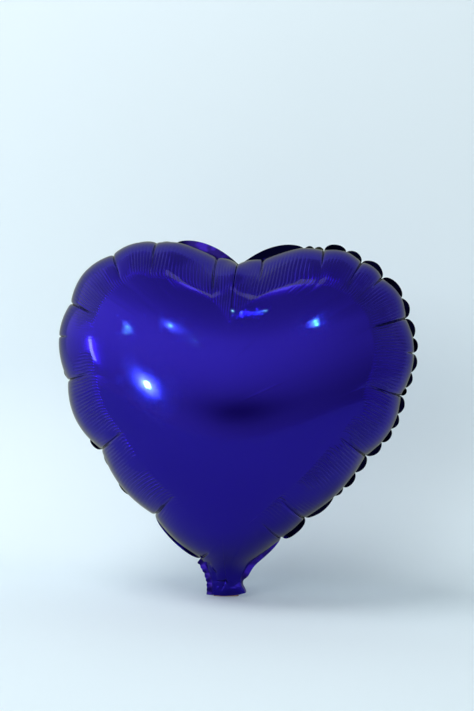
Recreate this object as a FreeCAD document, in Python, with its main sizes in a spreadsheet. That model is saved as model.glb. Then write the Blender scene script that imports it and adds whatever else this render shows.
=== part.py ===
import FreeCAD, Part

# Heart-shaped foil party balloon, blown up: two metallised films and the two-ply valve in its tail.
#
# Each film starts as a flat heart. The pair is heat-sealed round the edge, which leaves a flat flange,
# and gas then lifts the two hearts into domes. The valve is two thin plies that run up the tail. Each
# ply is bonded to its own film at the mouth, and above that gas pressure keeps the plies shut.
#
# The heart stands upright in the XZ plane with its front towards -Y. The origin is the middle of the
# tail's mouth. Lengths are in millimetres and angles in degrees.

import math
import os

import Sketcher

Vector = FreeCAD.Vector

SIZES = {
    # The flange's outer edge: tail, neck fillet, side, flank, lobe and notch. The slope is that of the
    # side where it leaves the neck, from upright.
    "tail_width": 41.0,
    "tail_straight": 7.0,
    "neck_fillet": 38.0,
    "side_slope": 50.5,
    "side_radius": 700.0,
    "flank_radius": 176.0,
    "lobe_radius": 104.0,
    "lobe_offset": 78.0,
    "notch_radius": 136.0,
    # The welded margin and the gathers along its edge.
    "seal_width": 7.0,
    "gather_pitch": 22.0,
    "scallop_depth": 1.6,
    # The gas space: where it starts above the mouth, how full it is and how it eases off at the tail.
    "mouth_seal": 10.0,
    "fullness": 1.2,
    "tail_slack": 30.0,
    "tail_reach": 75.0,
    "crown_gap": 80.0,
    # The films and the valve.
    "film_wall": 0.4,
    "valve_film": 0.1,
    "valve_width": 33.0,
    "valve_length": 95.0,
}

ROWS = 7
DIRECTIONS = 180


def make_sheet(doc):
    """The driving sizes, one row each, with the size's name as the cell's alias."""
    sheet = doc.addObject("Spreadsheet::Sheet", "sizes")
    for row, (name, value) in enumerate(SIZES.items(), start=1):
        sheet.set(f"A{row}", name)
        sheet.set(f"B{row}", str(value))
        sheet.setAlias(f"B{row}", name)
    doc.recompute()
    return sheet


# The outline


class Arc:
    """A piece of the outline in the XZ plane: part of a circle, from one angle to another."""

    def __init__(self, centre, radius, start, end):
        self.centre = centre
        self.radius = radius
        self.start = start
        self.end = end
        self.length = abs(end - start) * radius

    def at(self, share):
        angle = self.start + (self.end - self.start) * share
        x = self.centre[0] + self.radius * math.cos(angle)
        z = self.centre[1] + self.radius * math.sin(angle)
        return x, z

    def crossings(self, point, direction):
        """How far from the point, along the direction, a line through it crosses this arc."""
        dx = point[0] - self.centre[0]
        dz = point[1] - self.centre[1]
        along = dx * direction[0] + dz * direction[1]
        under = along**2 - dx**2 - dz**2 + self.radius**2
        if under <= 0:
            return []
        half = math.sqrt(under)
        return [far for far in (-along - half, -along + half) if self.covers(dx, dz, far, direction)]

    def covers(self, dx, dz, far, direction):
        angle = math.atan2(dz + far * direction[1], dx + far * direction[0])
        low = min(self.start, self.end)
        return (angle - low) % (2 * math.pi) <= abs(self.end - self.start)


class Line:
    """A straight piece of the outline in the XZ plane."""

    def __init__(self, start, end):
        self.start = start
        self.end = end
        self.length = math.dist(start, end)

    def at(self, share):
        x = self.start[0] + (self.end[0] - self.start[0]) * share
        z = self.start[1] + (self.end[1] - self.start[1]) * share
        return x, z

    def crossings(self, point, direction):
        """How far from the point, along the direction, a line through it crosses this piece."""
        ex = self.end[0] - self.start[0]
        ez = self.end[1] - self.start[1]
        wx = self.start[0] - point[0]
        wz = self.start[1] - point[1]
        across = direction[0] * ez - direction[1] * ex
        if abs(across) < 1e-9:
            return []
        share = (wx * direction[1] - wz * direction[0]) / across
        return [(wx * ez - wz * ex) / across] if 0 <= share <= 1 else []


def heart_side(sheet, inset, foot):
    """The heart's right side from height `foot` to the notch, `inset` inside the flange's plain edge.

    Every piece runs on from the one before without a corner. The circles keep their centres at any
    inset: the neck fillet bends the other way, so it grows by the inset while the others shrink.
    """
    slope = math.radians(sheet.side_slope)
    neck_x = sheet.tail_width / 2 + sheet.neck_fillet
    neck_z = sheet.tail_straight
    neck_radius = sheet.neck_fillet + inset
    neck_start = math.pi - math.asin((foot - neck_z) / neck_radius)
    neck = Arc((neck_x, neck_z), neck_radius, neck_start, math.pi - slope)

    side_x = neck_x - (sheet.neck_fillet + sheet.side_radius) * math.cos(slope)
    side_z = neck_z + (sheet.neck_fillet + sheet.side_radius) * math.sin(slope)
    flank_x = sheet.lobe_offset + sheet.lobe_radius - sheet.flank_radius
    closer = sheet.side_radius - sheet.flank_radius
    turn = math.acos((flank_x - side_x) / closer)
    middle_z = side_z - closer * math.sin(turn)
    side = Arc((side_x, side_z), sheet.side_radius - inset, -slope, -turn)
    flank = Arc((flank_x, middle_z), sheet.flank_radius - inset, -turn, 0)

    lobe = Arc((sheet.lobe_offset, middle_z), sheet.lobe_radius - inset, 0, math.pi / 2)
    notch_z = middle_z + sheet.lobe_radius - sheet.notch_radius
    notch_radius = sheet.notch_radius - inset
    notch_end = math.pi / 2 + math.asin(sheet.lobe_offset / notch_radius)
    notch = Arc((sheet.lobe_offset, notch_z), notch_radius, math.pi / 2, notch_end)
    return [neck, side, flank, lobe, notch]


def gathers(sheet):
    """How many equal gathers each piece of the outline is divided into."""
    return [round(piece.length / sheet.gather_pitch) for piece in heart_side(sheet, 0, 0)]


# The domes


class Dome:
    """The outer surface of a blown-up film: a rim in the flange's plane, and a height at any point.

    The height follows from the chords through a point, from rim to rim. With the two parts of a chord
    called a and b, the mean of 1/(a*b) over all directions says how closely the rim hems the point in.
    Heights go as the root of its inverse, which makes an ellipse of a long tube and meets the rim
    upright.
    """

    def __init__(self, sheet):
        self.sheet = sheet
        self.foot = sheet.mouth_seal
        self.pieces = heart_side(sheet, sheet.seal_width, self.foot)
        corner = self.pieces[0].at(0)[0]
        self.base = Line((-corner, self.foot), (corner, self.foot))
        self.notch = self.pieces[-1].at(1)[1]

    def chord(self, x, z, direction):
        """The shortest reach to the rim along a direction and against it."""
        mirrored = (-direction[0], direction[1])
        reach = self.base.crossings((x, z), direction)
        for piece in self.pieces:
            reach += piece.crossings((x, z), direction)
            reach += piece.crossings((-x, z), mirrored)
        ahead = min(far for far in reach if far > 0)
        behind = min(-far for far in reach if far < 0)
        return ahead, behind

    def height(self, x, z):
        hemmed = 0
        for turn in range(DIRECTIONS):
            angle = math.pi * (turn + 0.5) / DIRECTIONS
            ahead, behind = self.chord(x, z, (math.cos(angle), math.sin(angle)))
            hemmed += 1 / (ahead * behind) / DIRECTIONS
        room = 1 / (4 * hemmed)
        return self.sheet.fullness * room / math.sqrt(room + self.slack(z) ** 2)

    def slack(self, z):
        """How loosely the film lies: it is gathered at the tail and rises less there."""
        return self.sheet.tail_slack * max(1 - (z - self.foot) / self.sheet.tail_reach, 0)

    def column(self, rim_x, rim_z, share):
        """Points from the rim to the middle line, crowded near the rim where the film is steep."""
        spine_z = self.foot + share * (self.notch - self.sheet.crown_gap - self.foot)
        points = [Vector(rim_x, -self.sheet.film_wall, rim_z)]
        for row in range(1, ROWS):
            part = 1 - math.cos(math.pi / 2 * row / (ROWS - 1))
            x = rim_x * (1 - part)
            z = rim_z + (spine_z - rim_z) * part
            height = self.height(x, z) if share > 0 else 0
            points.append(Vector(x, -self.sheet.film_wall - height, z))
        return points

    def grid(self):
        """One column of points from the rim to the middle line at every crease between two gathers."""
        columns = [self.column(*self.pieces[0].at(0), 0)]
        whole = sum(piece.length for piece in self.pieces)
        passed = 0
        for piece, count in zip(self.pieces, gathers(self.sheet)):
            for index in range(1, count + 1):
                share = (passed + piece.length * index / count) / whole
                columns.append(self.column(*piece.at(index / count), share))
            passed += piece.length
        return columns


def lining(grid, wall):
    """The grid moved inwards by the wall, with its rim and its foot brought to the sealing plane."""
    inner = []
    for i, column in enumerate(grid):
        before = grid[max(i - 1, 0)]
        after = grid[min(i + 1, len(grid) - 1)]
        moved = []
        for j, point in enumerate(column):
            along = after[j] - before[j]
            across = column[min(j + 1, ROWS - 1)] - column[max(j - 1, 0)]
            deeper = point + across.cross(along).normalize() * wall
            middle = j == ROWS - 1 or i == len(grid) - 1
            flat = j == 0 or i == 0
            x = 0 if middle else deeper.x
            y = 0 if flat else deeper.y
            z = point.z if i == 0 else deeper.z
            moved.append(Vector(x, y, z))
        inner.append(moved)
    return inner


def dome_faces(grid):
    """A gore between every two columns of the grid, on the right side and mirrored on the left."""
    creases = []
    for column in grid:
        curve = Part.BSplineCurve()
        curve.interpolate(column)
        creases.append(curve.toShape())
    right = [Part.makeRuledSurface(low, high) for low, high in zip(creases, creases[1:])]
    return right + [gore.mirror(Vector(), Vector(1, 0, 0)) for gore in right]


def rim_wire(grid):
    """The closed wire where a dome meets the flange's plane, with the foot as its lowest edge."""
    right = [column[0] for column in grid]
    left = [Vector(-point.x, point.y, point.z) for point in reversed(right[:-1])]
    middle = Vector(0, right[0].y, right[0].z)
    return Part.makePolygon([middle] + right + left + [middle])


# The flange


def scallops(plane, plain, gathered, count):
    """Shallow outward arcs along a piece, one for each gather, with their ends on the gathered piece."""
    edges = []
    for index in range(count):
        start = gathered.at(index / count)
        middle = plain.at((index + 0.5) / count)
        end = gathered.at((index + 1) / count)
        edges.append(Part.Arc(*[Vector(x, plane, z) for x, z in (start, middle, end)]).toShape())
    return edges


def smooth(plane, piece):
    return Part.Arc(*[Vector(x, plane, z) for x, z in map(piece.at, (0, 0.5, 1))]).toShape()


def flange_edge(sheet, plane):
    """The flange's outer edge: scalloped where the film gathers, plain at the neck and the notch."""
    plain = heart_side(sheet, 0, sheet.tail_straight)
    gathered = heart_side(sheet, sheet.scallop_depth, sheet.tail_straight)
    tail_x, tail_z = gathered[0].at(0)
    right = [Part.makeLine(Vector(tail_x, plane, 0), Vector(tail_x, plane, tail_z))]
    right.append(smooth(plane, gathered[0]))
    for full, tight, count in list(zip(plain, gathered, gathers(sheet)))[1:4]:
        right += scallops(plane, full, tight, count)
    right.append(smooth(plane, gathered[4]))
    left = [edge.mirror(Vector(), Vector(1, 0, 0)) for edge in right]
    mouth = Part.makeLine(Vector(-tail_x, plane, 0), Vector(tail_x, plane, 0))
    return Part.Wire(Part.__sortEdges__(right + left + [mouth]))


# The sub-parts


def film_shape(sheet):
    """The front film: a flat flange round a dome, with the same wall all over."""
    wall = sheet.film_wall
    outer = Dome(sheet).grid()
    inner = lining(outer, wall)
    front_edge = flange_edge(sheet, -wall)
    back_edge = flange_edge(sheet, 0)
    faces = dome_faces(outer) + dome_faces(inner)
    faces.append(Part.makeFace([front_edge, rim_wire(outer)], "Part::FaceMakerBullseye"))
    faces.append(Part.makeFace([back_edge, rim_wire(inner)], "Part::FaceMakerBullseye"))
    faces += front_edge.extrude(Vector(0, wall, 0)).Faces
    skin = Part.Compound(faces)
    skin.sewShape()
    solid = Part.Solid(Part.Shell(skin.Faces))
    if solid.Volume < 0:
        solid.reverse()
    return solid


def add_ply(doc, name, to_rear):
    """One valve ply: a plain strip from the mouth up the tail, padded to the front or to the rear."""
    body = doc.addObject("PartDesign::Body", name)
    body.Label = name
    sketch = body.newObject("Sketcher::SketchObject", name + "_outline")
    plane = next(item for item in body.Origin.OriginFeatures if item.Role == "XZ_Plane")
    sketch.AttachmentSupport = [(plane, "")]
    sketch.MapMode = "FlatFace"
    half = SIZES["valve_width"] / 2
    top = SIZES["valve_length"]
    corners = [Vector(-half, 0, 0), Vector(half, 0, 0), Vector(half, top, 0), Vector(-half, top, 0)]
    for index, corner in enumerate(corners):
        sketch.addGeometry(Part.LineSegment(corner, corners[(index + 1) % 4]), False)
    for index in range(4):
        sketch.addConstraint(Sketcher.Constraint("Coincident", index, 2, (index + 1) % 4, 1))
        level = "Vertical" if index % 2 else "Horizontal"
        sketch.addConstraint(Sketcher.Constraint(level, index))
    sketch.addConstraint(Sketcher.Constraint("Symmetric", 0, 1, 0, 2, -1, 1))
    width = sketch.addConstraint(Sketcher.Constraint("DistanceX", 0, 1, 0, 2, 2 * half))
    sketch.setExpression(f"Constraints[{width}]", "sizes.valve_width")
    length = sketch.addConstraint(Sketcher.Constraint("DistanceY", 1, 1, 1, 2, top))
    sketch.setExpression(f"Constraints[{length}]", "sizes.valve_length")
    pad = body.newObject("PartDesign::Pad", name + "_pad")
    pad.Profile = sketch
    pad.Reversed = to_rear
    pad.setExpression("Length", "sizes.valve_film")
    return body


def add_films(doc, sheet, ply):
    """The front film with a pocket for its valve ply, and the rear film as its mirror image."""
    blank = doc.addObject("Part::Feature", "film_blank")
    blank.Shape = film_shape(sheet)
    blank.Placement = FreeCAD.Placement()
    front = doc.addObject("Part::Cut", "front_film")
    front.Base = blank
    front.Tool = ply
    front.Label = "front_film"
    front.Placement = FreeCAD.Placement()
    rear = doc.addObject("Part::Mirroring", "rear_film")
    rear.Source = front
    rear.Normal = Vector(0, 1, 0)
    rear.Label = "rear_film"
    return [front, rear]


def main():
    doc = FreeCAD.newDocument("foil_balloon")
    sheet = make_sheet(doc)
    front_ply = add_ply(doc, "front_valve_ply", False)
    rear_ply = add_ply(doc, "rear_valve_ply", True)
    doc.recompute()
    pieces = add_films(doc, sheet, front_ply) + [front_ply, rear_ply]
    doc.recompute()
    for item in doc.Objects:
        if "Invalid" in item.State or "Error" in item.State:
            raise RuntimeError(f"{item.Name} did not compute: {item.State}")
    os.makedirs("parts", exist_ok=True)
    for piece in pieces:
        if piece.Shape.isNull() or not piece.Shape.isValid():
            raise RuntimeError(f"{piece.Label} is not a valid solid")
        print(piece.Label, round(piece.Shape.Volume, 1), piece.Shape.BoundBox)
        piece.Shape.exportStep(f"parts/{piece.Label}.step")


main()
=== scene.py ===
# %% [markdown]
# # A heart-shaped foil balloon
#
# The real object is two hearts of metallised film, welded together round the edge and blown up. Its
# welded margin stays flat while the film inside it swells, so the edge has to shorten. It does so by
# gathering: short pleats run in from the weld and the margin breaks into scallops. Everything below
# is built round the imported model, in metres, with the front towards -Y and the tail's mouth at the
# origin.

# %% The frame
import math

import bmesh
import bpy
import numpy as np
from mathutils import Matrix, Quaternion, Vector


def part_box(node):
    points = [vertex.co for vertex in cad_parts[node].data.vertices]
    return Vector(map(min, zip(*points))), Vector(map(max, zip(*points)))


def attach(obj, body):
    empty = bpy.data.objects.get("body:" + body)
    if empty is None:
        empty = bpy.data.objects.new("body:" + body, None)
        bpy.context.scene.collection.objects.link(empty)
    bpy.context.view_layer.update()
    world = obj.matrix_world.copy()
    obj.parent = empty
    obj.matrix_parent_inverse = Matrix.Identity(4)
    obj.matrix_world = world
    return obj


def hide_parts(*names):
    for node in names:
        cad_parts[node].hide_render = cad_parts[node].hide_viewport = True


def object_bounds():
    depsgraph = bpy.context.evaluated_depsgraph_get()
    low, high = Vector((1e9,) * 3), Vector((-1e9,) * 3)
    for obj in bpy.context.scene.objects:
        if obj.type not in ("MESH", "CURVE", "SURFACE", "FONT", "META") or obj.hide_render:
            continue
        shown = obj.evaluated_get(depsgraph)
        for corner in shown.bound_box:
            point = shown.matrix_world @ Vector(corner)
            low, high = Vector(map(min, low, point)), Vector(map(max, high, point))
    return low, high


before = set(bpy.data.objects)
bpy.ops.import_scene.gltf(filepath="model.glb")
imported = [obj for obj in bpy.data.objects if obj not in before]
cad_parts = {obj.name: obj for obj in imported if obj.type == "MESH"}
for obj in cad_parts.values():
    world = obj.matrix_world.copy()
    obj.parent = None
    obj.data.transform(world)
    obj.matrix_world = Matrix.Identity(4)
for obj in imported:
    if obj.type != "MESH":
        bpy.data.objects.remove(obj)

MM = 0.001
CAD_BOX = [list(corner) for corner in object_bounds()]
FILM_LOW, FILM_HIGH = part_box("front_film")
print("packed part from", [round(v, 4) for v in CAD_BOX[0]], "to", [round(v, 4) for v in CAD_BOX[1]])
print("film box", [round(v, 4) for v in FILM_LOW], [round(v, 4) for v in FILM_HIGH])

# %% [markdown]
# ## The camera
#
# The heart is seen almost straight on, a little from its right, from about the height of its lobes.
# A long lens at a little over a metre keeps the two lobes equal. The balloon leans a touch clockwise
# on its soft tail: the camera rolls instead, so that the balloon stays upright in its own frame.

# %% Camera
VIEW_TURN = math.radians(4.5)
VIEW_DISTANCE = 1.146
VIEW_HEIGHT = 0.2457
VIEW_ROLL = math.radians(2.75)
AIM = Vector((0.0018, 0, VIEW_HEIGHT))


def look(item, target, roll=0.0):
    """Turn an object so that its own -Z points at the target, rolled about that line."""
    turn = (Vector(target) - item.location).to_track_quat("-Z", "Y")
    item.rotation_euler = (turn @ Quaternion((0, 0, 1), roll)).to_euler()


lens = bpy.data.cameras.new("camera")
lens.lens = 57
lens.sensor_width = 36
lens.sensor_fit = "AUTO"
camera = bpy.data.objects.new("camera", lens)
bpy.context.scene.collection.objects.link(camera)
camera.location = AIM + VIEW_DISTANCE * Vector((math.sin(VIEW_TURN), -math.cos(VIEW_TURN), 0))
look(camera, AIM, VIEW_ROLL)
bpy.context.scene.camera = camera
print("camera at", [round(v, 3) for v in camera.location])

# %% [markdown]
# ## The seam
#
# The weld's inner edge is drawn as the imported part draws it: a short straight tail, a neck fillet,
# a slightly bowed side, a flank, a lobe and an arc down to the notch. Each arc keeps its centre when
# the line moves in or out, so one function gives the welded margin's outer edge, the weld itself and
# every line inside it.

# %% Lines and arcs
def arc(centre, radius, start, end):
    """Part of a circle, as a function that gives its point at a share of the way along."""
    def at(share):
        angle = start + (end - start) * share
        return centre[0] + radius * math.cos(angle), centre[1] + radius * math.sin(angle)
    return {"at": at, "length": abs(end - start) * radius, "circle": (centre, radius, start, end)}


def line(start, end):
    """A straight run, given in the same way as an arc."""
    def at(share):
        return tuple(a + (b - a) * share for a, b in zip(start, end))
    return {"at": at, "length": math.dist(start, end), "ends": (start, end)}


print("a quarter of a 100 mm circle is", round(arc((0, 0), 100 * MM, 0, math.pi / 2)["length"], 4), "m long")

# %% Outline of half the heart
TAIL_WIDTH = 41 * MM
TAIL_STRAIGHT = 7 * MM
NECK_FILLET = 38 * MM
SIDE_SLOPE = math.radians(50.5)
SIDE_RADIUS = 700 * MM
FLANK_RADIUS = 176 * MM
LOBE_RADIUS = 104 * MM
LOBE_OFFSET = 78 * MM
NOTCH_RADIUS = 136 * MM


def half_heart(inset):
    """The right half of the outline, from the mouth to the notch, `inset` inside the outer edge."""
    tail_x = TAIL_WIDTH / 2 - inset
    neck_x = TAIL_WIDTH / 2 + NECK_FILLET
    side_x = neck_x - (NECK_FILLET + SIDE_RADIUS) * math.cos(SIDE_SLOPE)
    side_z = TAIL_STRAIGHT + (NECK_FILLET + SIDE_RADIUS) * math.sin(SIDE_SLOPE)
    flank_x = LOBE_OFFSET + LOBE_RADIUS - FLANK_RADIUS
    turn = math.acos((flank_x - side_x) / (SIDE_RADIUS - FLANK_RADIUS))
    middle_z = side_z - (SIDE_RADIUS - FLANK_RADIUS) * math.sin(turn)
    notch_radius = NOTCH_RADIUS - inset
    return [
        line((tail_x, 0), (tail_x, TAIL_STRAIGHT)),
        arc((neck_x, TAIL_STRAIGHT), NECK_FILLET + inset, math.pi, math.pi - SIDE_SLOPE),
        arc((side_x, side_z), SIDE_RADIUS - inset, -SIDE_SLOPE, -turn),
        arc((flank_x, middle_z), FLANK_RADIUS - inset, -turn, 0),
        arc((LOBE_OFFSET, middle_z), LOBE_RADIUS - inset, 0, math.pi / 2),
        arc((LOBE_OFFSET, middle_z + LOBE_RADIUS - NOTCH_RADIUS), notch_radius, math.pi / 2,
            math.pi / 2 + math.asin(LOBE_OFFSET / notch_radius)),
    ]


print("outer edge", round(2 * sum(piece["length"] for piece in half_heart(0)), 3), "m round")

# %% The weld and places along it
SEAL_WIDTH = 7 * MM
WELD = half_heart(SEAL_WIDTH)
WELD_LENGTH = sum(piece["length"] for piece in WELD)
NOTCH_Z = WELD[-1]["at"](1)[1]


def seam_place(distance):
    """Which piece of the weld a distance from the mouth falls on, and the share along it."""
    for index, piece in enumerate(WELD):
        if distance <= piece["length"] or index == len(WELD) - 1:
            return index, min(distance / piece["length"], 1)
        distance -= piece["length"]


def seam_point(distance, inset):
    """The point a given distance from the mouth along the weld, moved to another inset."""
    index, share = seam_place(distance)
    return half_heart(inset)[index]["at"](share)


print("weld", round(2 * WELD_LENGTH, 3), "m round, notch at", round(NOTCH_Z, 4))

# %% [markdown]
# ## Pleats and gathers
#
# The seam is slack round the outside of the lobes and along the sides, and taut across the notch.
# Where it is slack the film takes it up in a few long pleats, and the margin in many short gathers
# between them. Both are listed for each side, as distances along the weld from the mouth,
# with the length that a pleat reaches inwards and how far each blade of the margin stands out.

# %% Pleats
# Distance from the mouth: length, in millimetres. The last ones run down beside the notch.
RIGHT_PLEATS = {81: 26, 112: 38, 200: 34, 270: 29, 314: 9, 349: 32, 396: 15, 422: 26, 462: 17, 524: 18}
LEFT_PLEATS = {41: 15, 105: 36, 190: 36, 269: 30, 314: 11, 349: 29, 416: 28, 462: 16, 527: 28}
PLEATS = {1: {at * MM: length * MM for at, length in RIGHT_PLEATS.items()},
          -1: {at * MM: length * MM for at, length in LEFT_PLEATS.items()}}
print("pleats", len(RIGHT_PLEATS), "on the right,", len(LEFT_PLEATS), "on the left")

# %% Blades of the margin between the gathers
# Distance of each gather: share of the margin's width that shows up to the next one.
RIGHT_BLADES = {81: 1, 112: 0.95, 148: 0.8, 161: 0.95, 180: 0.95, 200: 1, 220: 0.9, 236: 0.95, 252: 0.95,
                270: 0.55, 279: 0.85, 295: 0.95, 314: 0.85, 329: 0.95, 349: 1, 369: 1, 396: 1, 422: 0.95,
                440: 0.95, 462: 0.6, 472: 0.7}
LEFT_BLADES = {41: 0.8, 105: 0.3, 117: 0.35, 135: 0.85, 156: 0.3, 166: 0.85, 190: 0.85, 207: 0.4, 216: 0.65,
               229: 0.4, 249: 0.35, 269: 0.8, 286: 0.35, 314: 0.4, 335: 0.4, 349: 0.3, 381: 0.3, 416: 0.4,
               431: 0.35, 462: 0.5}
GATHERS_END = {1: 482 * MM, -1: 480 * MM}
BLADES = {side: {at * MM: share for at, share in blades.items()}
          for side, blades in ((1, RIGHT_BLADES), (-1, LEFT_BLADES))}
GATHERS = {side: list(BLADES[side]) + [GATHERS_END[side]] for side in (1, -1)}
print("blades", len(RIGHT_BLADES), "on the right,", len(LEFT_BLADES), "on the left")

# %% Columns of the mesh
KNOT_STEPS = (0.0, 0.02, 0.06, 0.15, 0.31, 0.5, 0.69, 0.85, 0.94, 0.98)
COLUMN_COUNT = 320


def side_columns(side):
    """Distances of the mesh columns on one side: closer beside a gather, even on the plain runs."""
    knots = GATHERS[side] + [place for place in PLEATS[side] if place > GATHERS_END[side]] + [WELD_LENGTH]
    gathered = [low + (high - low) * step for low, high in zip(knots, knots[1:]) for step in KNOT_STEPS]
    plain = COLUMN_COUNT - len(gathered) - 1
    return np.array([knots[0] * k / plain for k in range(plain)] + gathered + [WELD_LENGTH])


COLUMNS = {side: side_columns(side) for side in (1, -1)}
for side, name in ((1, "right"), (-1, "left")):
    print(name, len(PLEATS[side]), "pleats", len(GATHERS[side]), "gathers",
          int((COLUMNS[side] < GATHERS[side][0]).sum()), "plain columns at the tail")

# %% [markdown]
# ## The grid under the film
#
# The film could be one flat sheet blown up by a cloth simulation. On this heart, that folds
# the cleft far too deep and throws big random bulges where the real film is smooth and tight. So the
# film is laid out as a grid: lines parallel to the weld near the edge, where the pleats are, then
# straight runs to the middle line.

# %% Grid
BAND = 36 * MM
BAND_SHARE = 0.7  # most of the way to the middle line that the band may take, low on the heart
BAND_ROWS = 12
CORE_ROWS = 11
SPINE_TOP = NOTCH_Z - 60 * MM


def spine_height(distance):
    """Where a column reaches the middle line: level with its start at the tail, closer above."""
    stretch = WELD_LENGTH / SPINE_TOP - 1
    return distance / (1 + stretch * distance / WELD_LENGTH)


def side_grid(side):
    """Points (x, z) of one side's grid, with each point's distance inside the weld."""
    mean = (COLUMNS[1] + COLUMNS[-1]) / 2
    points = []
    inward = []
    for distance, middle in zip(COLUMNS[side], mean):
        rim_x = seam_point(distance, SEAL_WIDTH)[0]
        band = BAND if distance > WELD_LENGTH / 2 else min(BAND, BAND_SHARE * rim_x)
        depths = [band * (row / BAND_ROWS) ** 2 for row in range(BAND_ROWS + 1)]
        column = [seam_point(distance, SEAL_WIDTH + depth) for depth in depths]
        last = column[-1]
        end = (0.0, spine_height(middle))
        gap = math.dist(last, end)
        for row in range(1, CORE_ROWS + 1):
            share = row / CORE_ROWS
            column.append((last[0] + (end[0] - last[0]) * share, last[1] + (end[1] - last[1]) * share))
            depths.append(band + gap * share)
        points.append(column)
        inward.append(depths)
    return np.array(points), np.array(inward)


print("grid", COLUMN_COUNT, "columns by", BAND_ROWS + 1 + CORE_ROWS, "rows on each side")

# %% [markdown]
# ## How high the film swells
#
# A point of the film rises more the further it is from the weld in every direction. The imported part
# says this with chords: lines through the point from edge to edge, whose two parts are multiplied.
# The same rule here puts the visible film on the imported one. It eases off at the tail, where the
# film is gathered together and can't rise. Two things are added to it: the tail stays a little
# open down to its hem, and across the cleft the gas lifts the film into a smooth saddle.

# %% Chords
NEARLY_ZERO = 1e-12


def crossings(piece, x, z, ux, uz):
    """Signed distances from points (x, z), along (ux, uz), to a piece; infinite where it misses."""
    if "circle" in piece:
        (cx, cz), radius, start, end = piece["circle"]
        dx, dz = x - cx, z - cz
        along = dx * ux + dz * uz
        under = along**2 - dx**2 - dz**2 + radius**2
        half = np.sqrt(np.maximum(under, 0))
        found = []
        for far in (-along - half, -along + half):
            angle = np.arctan2(dz + far * uz, dx + far * ux)
            hit = (angle - min(start, end)) % (2 * math.pi) <= abs(end - start)
            found.append(np.where(hit & (under > 0), far, np.inf))
        return found
    (x0, z0), (x1, z1) = piece["ends"]
    ex, ez = x1 - x0, z1 - z0
    across = ux * ez - uz * ex
    if abs(across) < NEARLY_ZERO:
        return []
    share = ((x0 - x) * uz - (z0 - z) * ux) / across
    far = ((x0 - x) * ez - (z0 - z) * ex) / across
    return [np.where((share >= 0) & (share <= 1), far, np.inf)]


print("a chord may end on any of", 2 * len(WELD), "pieces of the weld or on the seal of the mouth")

# %% Height of the film
MOUTH_SEAL = 10 * MM
FULLNESS = 1.2
TAIL_SLACK = 30 * MM
TAIL_REACH = 75 * MM
DIRECTIONS = 120
TOUCHING = 1e-9


def swell(x, z):
    """The film's height above the seam's plane at points (x, z)."""
    foot = WELD[0]["at"](0)[0]
    base = line((-foot, MOUTH_SEAL), (foot, MOUTH_SEAL))
    hemmed = np.zeros_like(x)
    for turn in range(DIRECTIONS):
        angle = math.pi * (turn + 0.5) / DIRECTIONS
        ux, uz = math.cos(angle), math.sin(angle)
        reach = crossings(base, x, z, ux, uz)
        for piece in WELD:
            reach += crossings(piece, x, z, ux, uz)
            reach += crossings(piece, -x, z, -ux, uz)
        reach = np.array(reach)
        ahead = np.where(reach > TOUCHING, reach, np.inf).min(axis=0)
        behind = np.where((reach < -TOUCHING) & np.isfinite(reach), -reach, np.inf).min(axis=0)
        hemmed += 1 / (ahead * behind) / DIRECTIONS
    room = 1 / (4 * np.maximum(hemmed, TOUCHING))
    tail = np.clip(1 - (z - MOUTH_SEAL) / TAIL_REACH, 0, 1)
    rise = FULLNESS * room / np.sqrt(room + (TAIL_SLACK * tail) ** 2)
    return np.where(z > MOUTH_SEAL, rise, 0)


print("height at half the notch's height", round(float(swell(np.zeros(1), np.full(1, NOTCH_Z / 2))[0]), 4))

# %% The open tail
HEM_OPENING = 5.5 * MM
HEM_TOP = 45 * MM
HEM_RISE = 12 * MM
PRESSED_EDGE = 9 * MM
PRESSED_WIDTH = 12 * MM


def tail_opening(side, points, inward):
    """Height of the tail's own flat tube: open down to the hem on the right, pressed flat on the left."""
    x, z = points[..., 0], points[..., 1]
    half = np.maximum(points[:, :1, 0], 1 * MM)
    round_over = np.sqrt(np.clip(1 - (x / half) ** 2, 0, 1))
    rise = np.clip(z / HEM_RISE, 0.08, 1) ** 0.7 * np.clip(1 - z / HEM_TOP, 0, 1)
    pressed = np.clip((side * x + PRESSED_EDGE) / PRESSED_WIDTH, 0.15, 1)
    return HEM_OPENING * round_over * rise * pressed * np.clip(inward / (1 * MM), 0, 1)


print("tail opens by less than", round(2 * HEM_OPENING / MM, 1), "mm, up to", round(HEM_TOP / MM), "mm high")

# %% The saddle across the cleft
SADDLE_LIFT = 10.5 * MM
SADDLE_WIDTH = 18 * MM
SADDLE_REACH = 20 * MM
SADDLE_EASE = 3 * MM
SADDLE_LOW = NOTCH_Z - 90 * MM
SADDLE_FADE = 30 * MM


def saddle(points, inward):
    """How far the film is lifted across the cleft; the weld itself keeps its place."""
    x, z = points[..., 0], points[..., 1]
    near = np.exp(-((x / SADDLE_WIDTH) ** 2) - (inward / SADDLE_REACH) ** 2)
    ease = np.clip(inward / SADDLE_EASE, 0, 1) ** 0.5
    return SADDLE_LIFT * near * ease * np.clip((z - SADDLE_LOW) / SADDLE_FADE, 0, 1)


print("saddle lifts the film by less than", round(SADDLE_LIFT / MM, 1), "mm, above", round(SADDLE_LOW, 4))

# %% Height over the grid
def side_heights(side, points, inward):
    """Heights over one side's grid; the weld itself stays in the seam's plane."""
    heights = np.zeros(points.shape[:2])
    heights[:, 1:] = swell(points[:, 1:, 0], points[:, 1:, 1])
    return np.hypot(heights, tail_opening(side, points, inward))


GRID = {}
for side in (1, -1):
    points, inward = side_grid(side)
    GRID[side] = {"points": points, "inward": inward, "height": side_heights(side, points, inward),
                  "lift": saddle(points, inward)}
    print("side", side, "highest", round(float(GRID[side]["height"].max()), 4))

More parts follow.
